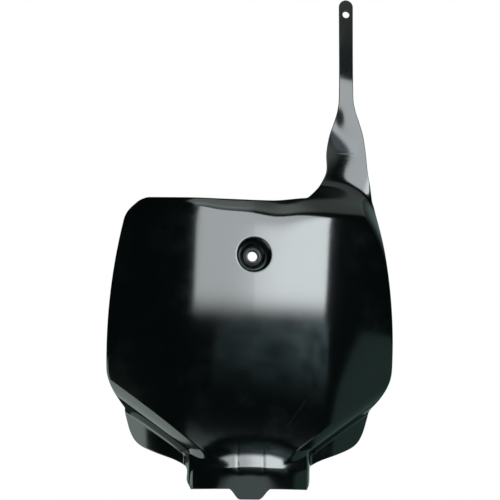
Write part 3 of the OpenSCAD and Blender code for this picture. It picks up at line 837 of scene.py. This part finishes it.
def shade_light(light, near=1.0, step=(0.0, 1.0), lean=0.0, foot=0.2, skew=0.0,
                clouds=0.0):
    """Shades a light. Its left part has a share of its radiance, up to a smooth step between
    two places across, which moves right by the lean over its upper half. It fades out above
    its foot, and the skew keeps the foot level on a rolled light. Clouds make it uneven."""
    light.data.use_nodes = True
    tree = light.data.node_tree
    place = node(tree, "ShaderNodeSeparateXYZ",
                 {0: node(tree, "ShaderNodeNewGeometry").outputs["Parametric"]})
    leaning = node(tree, "ShaderNodeMapRange", {"Value": place.outputs["Y"], "From Min": 0.5,
                                                "To Max": -lean})
    moved = node(tree, "ShaderNodeMath", {0: place.outputs["X"], 1: leaning.outputs["Result"]})
    across = node(tree, "ShaderNodeMapRange", {"Value": moved.outputs[0], "From Min": step[0],
                                               "From Max": step[1], "To Min": near},
                  interpolation_type="SMOOTHSTEP")
    level = node(tree, "ShaderNodeMath", {0: place.outputs["X"], 1: skew,
                                          2: place.outputs["Y"]}, operation="MULTIPLY_ADD")
    rise = node(tree, "ShaderNodeMapRange", {"Value": level.outputs[0], "From Max": foot},
                interpolation_type="SMOOTHSTEP")
    both = node(tree, "ShaderNodeMath", {0: across.outputs["Result"],
                                         1: rise.outputs["Result"]}, operation="MULTIPLY")
    noise = node(tree, "ShaderNodeTexNoise", {
        "Vector": tree.nodes["Geometry"].outputs["Parametric"], "Scale": 6.0, "Detail": 2.0})
    uneven = node(tree, "ShaderNodeMapRange", {"Value": noise.outputs["Fac"], "From Min": 0.35,
                                               "From Max": 0.65, "To Min": 1 - clouds,
                                               "To Max": 1 + clouds})
    both = node(tree, "ShaderNodeMath", {0: both.outputs[0], 1: uneven.outputs["Result"]},
                operation="MULTIPLY")
    tree.links.new(both.outputs[0], tree.nodes["Emission"].inputs["Strength"])


class BOARD_OT_stage(bpy.types.Operator):
    """Make the floor, the backdrop, the lights and the camera"""
    bl_idname = "number_board.stage"
    bl_label = "Stage"

    def execute(self, context):
        look = SimpleNamespace(**{n: getattr(context.scene.board_stage, n)
                                  for n in StageLook.__annotations__})
        self.floor(look)
        self.world(look)
        self.lights(look)
        self.camera(context, look)
        return {"FINISHED"}

    def floor(self, look):
        """A flat square floor of one face."""
        half = 6.0
        mesh = bpy.data.meshes.new("floor")
        mesh.from_pydata([(-half, -half, look.floor_z), (half, -half, look.floor_z),
                          (half, half, look.floor_z), (-half, half, look.floor_z)],
                         [], [(0, 1, 2, 3)])
        floor = keep("floor", mesh)
        mesh.materials.append(painted("Matt_studio_floor", look.floor, 0.8))
        floor.visible_glossy = False

    def world(self, look):
        """Pale backdrop for what is seen directly, dim room for light and reflections."""
        world = bpy.data.worlds.new("studio")
        bpy.context.scene.world = world
        world.use_nodes = True
        tree = world.node_tree
        tree.nodes.clear()
        seen = node(tree, "ShaderNodeBackground", {"Color": linear(look.backdrop),
                                                   "Strength": 1.0})
        way = node(tree, "ShaderNodeSeparateXYZ",
                   {0: node(tree, "ShaderNodeTexCoord").outputs["Generated"]})
        back = node(tree, "ShaderNodeMath", {0: way.outputs["X"], 1: 0.5, 2: way.outputs["Y"]},
                    operation="MULTIPLY_ADD")
        behind = node(tree, "ShaderNodeMapRange", {"Value": back.outputs[0], "From Min": -0.1,
                                                   "From Max": 0.6})
        above = node(tree, "ShaderNodeMapRange", {"Value": way.outputs["Z"], "From Min": -0.3,
                                                  "From Max": -0.05, "To Min": 0.05})
        pale = node(tree, "ShaderNodeMath", {0: behind.outputs["Result"],
                                             1: above.outputs["Result"], 2: 0.03},
                    operation="MULTIPLY_ADD")
        dim = node(tree, "ShaderNodeBackground", {"Color": linear("#d8fff8"),
                                                  "Strength": pale.outputs[0]})
        path = node(tree, "ShaderNodeLightPath")
        both = node(tree, "ShaderNodeMixShader", {0: path.outputs["Is Camera Ray"],
                                                  1: dim.outputs[0], 2: seen.outputs[0]})
        node(tree, "ShaderNodeOutputWorld", {"Surface": both.outputs[0]})

    def lights(self, look):
        """One large softbox at the front right, a dim ceiling above it with its foot, a pale
        surface at the lower left, and faint ones at the lower right and low in front."""
        softbox = area_light("softbox", (20, 0, 20), (11.2, 5.9), 1550, (1170, 1022),
                             look.softbox, "#f3fbfd", -10)
        shade_light(softbox, 0.56, (0.26, 0.56), 0.5, 0.18, -0.19)
        ceiling = area_light("ceiling", (20, 0, 45), (28, 45), 1200, (1600, 700), 0.85, "#ecfaf2")
        shade_light(ceiling, 2.8, (0.3, 0.6), foot=0.4)
        area_light("ceiling_foot", (84, 0, 100), (-5, 30), 1500, (480, 560), 1.4, "#cfe2ee")
        area_light("left_panel", (-80, 0, -140), (-80, -37), 800, (1210, 720), 3.6, "#ecfff9")
        area_light("right_panel", (80, 0, -120), (86, -28), 800, (1500, 700), 0.45, "#c4fff0")
        glow = area_light("front_glow", (20, 0, -90), (15, -15.5), 1500, (950, 640), 1.1, "#c9eef4")
        shade_light(glow, 0.4, (0.0, 0.8), foot=0.7, clouds=0.6)
        area_light("front_floor", (0, 0, -190), (9, -40.5), 900, (700, 370), 1.5, "#e8ffff")

    def camera(self, context, look):
        """Camera on the photograph's direction, aimed so that the board falls in its place."""
        a, e = math.radians(look.azimuth), math.radians(look.elevation)
        ahead = np.array([-math.sin(a) * math.cos(e), math.cos(a) * math.cos(e), -math.sin(e)])
        right = np.array([math.cos(a), math.sin(a), 0])
        up = np.cross(right, ahead)
        aim = np.array([0, 0, look.aim_z]) - look.shift_x * right - look.shift_z * up
        data = bpy.data.cameras.new("camera")
        data.sensor_width = 36
        data.lens = 36 * look.distance / look.width_seen
        data.clip_end = 50
        made = keep("camera", data)
        turn = np.eye(4)
        turn[:3, :4] = np.stack([right, up, -ahead, aim - ahead * look.distance], 1)
        made.matrix_world = Matrix(turn.tolist())
        context.scene.camera = made
        context.scene.view_settings.view_transform = "Standard"


class BOARD_PT_panel(bpy.types.Panel):
    """Makes the number board and its stage"""
    bl_idname = "BOARD_PT_panel"
    bl_label = "Number board"
    bl_space_type = "VIEW_3D"
    bl_region_type = "UI"
    bl_category = "Number board"

    def draw(self, context):
        for operator in OPERATORS:
            self.layout.operator(operator.bl_idname)
        for name, group in GROUPS.items():
            box = self.layout.box()
            for prop in group.__annotations__:
                box.prop(getattr(context.scene, name), prop)


OPERATORS = (BOARD_OT_moulding, BOARD_OT_stage)
GROUPS = {"board_sizes": BoardSizes, "board_slopes": BoardSlopes,
          "board_finish": PlasticFinish, "board_stage": StageLook}


def register():
    for kind in (*GROUPS.values(), *OPERATORS, BOARD_PT_panel):
        bpy.utils.register_class(kind)
    for name, group in GROUPS.items():
        setattr(bpy.types.Scene, name, bpy.props.PointerProperty(type=group))


def unregister():
    for name in GROUPS:
        delattr(bpy.types.Scene, name)
    for kind in (BOARD_PT_panel, *OPERATORS, *GROUPS.values()):
        bpy.utils.unregister_class(kind)


def main():
    register()
    bpy.ops.number_board.moulding()
    bpy.ops.number_board.stage()


if __name__ == "__main__":
    main()
